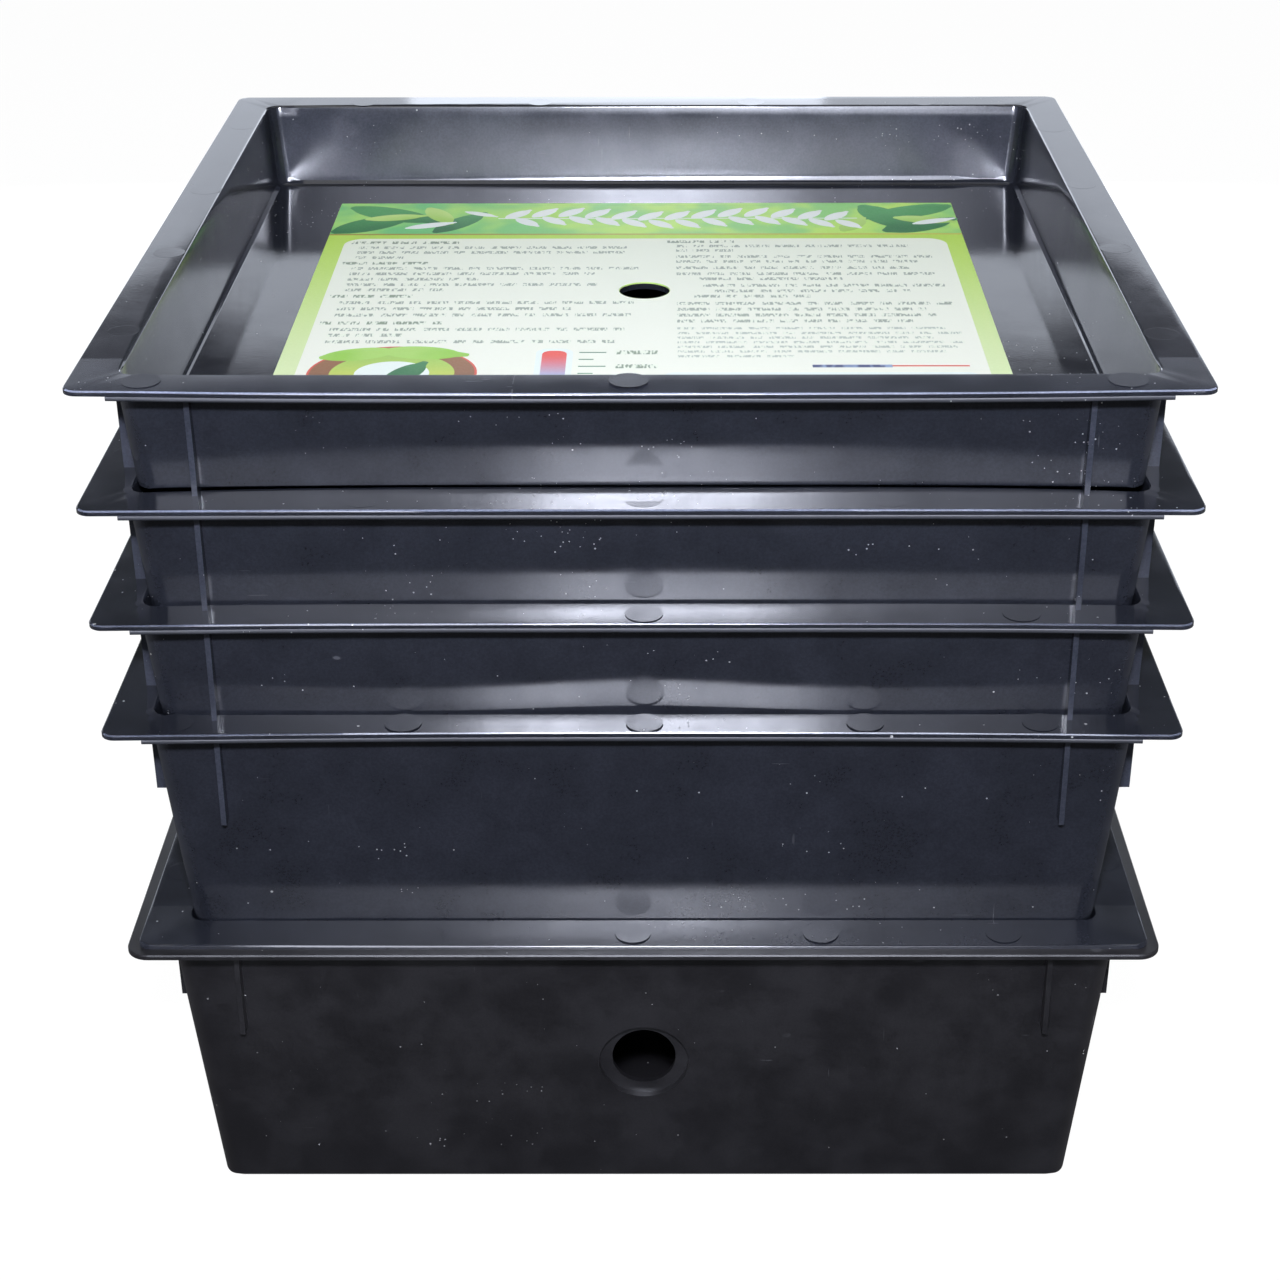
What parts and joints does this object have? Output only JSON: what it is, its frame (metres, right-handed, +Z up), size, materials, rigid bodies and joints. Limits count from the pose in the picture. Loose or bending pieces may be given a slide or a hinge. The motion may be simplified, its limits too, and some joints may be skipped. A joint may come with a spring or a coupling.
{
  "type": "wormery",
  "caption": "Square black plastic stacking wormery: collector base with a front drain hole, drain screen, nested perforated trays, pan-shaped lid and printed card.",
  "frame": {"origin": "middle of the base's underside, at the ground", "axes": "+Z up, +X to the viewer's right, -Y towards the front with the drain hole"},
  "size_m": [0.405, 0.405, 0.3644],
  "materials": {
    "base_plastic": "glossy",
    "tray_plastic": "glossy",
    "printed_card": "satin"
  },
  "bodies": {
    "base": {"base": "base_plastic"},
    "drain_screen": {"drain_screen": "tray_plastic"},
    "tray_lower": {"tray_lower": "tray_plastic"},
    "tray_middle": {"tray_middle": "tray_plastic"},
    "tray_upper": {"tray_upper": "tray_plastic"},
    "lid": {"lid": "tray_plastic"},
    "card": {"instruction_card": "printed_card"}
  },
  "joints": [
    {"name": "screen_lift", "type": "slide", "parent": "base", "child": "drain_screen", "axis": [0, 0, 1], "range_m": [0, 0.04]},
    {"name": "lower_tray_lift", "type": "slide", "parent": "drain_screen", "child": "tray_lower", "axis": [0, 0, 1], "range_m": [0, 0.04]},
    {"name": "middle_tray_lift", "type": "slide", "parent": "tray_lower", "child": "tray_middle", "axis": [0, 0, 1], "range_m": [0, 0.09]},
    {"name": "upper_tray_lift", "type": "slide", "parent": "tray_middle", "child": "tray_upper", "axis": [0, 0, 1], "range_m": [0, 0.09]},
    {"name": "lid_lift", "type": "slide", "parent": "tray_upper", "child": "lid", "axis": [0, 0, 1], "range_m": [0, 0.06]},
    {"name": "card_lift", "type": "slide", "parent": "lid", "child": "card", "axis": [0, 0, 1], "range_m": [0, 0.06]}
  ]
}
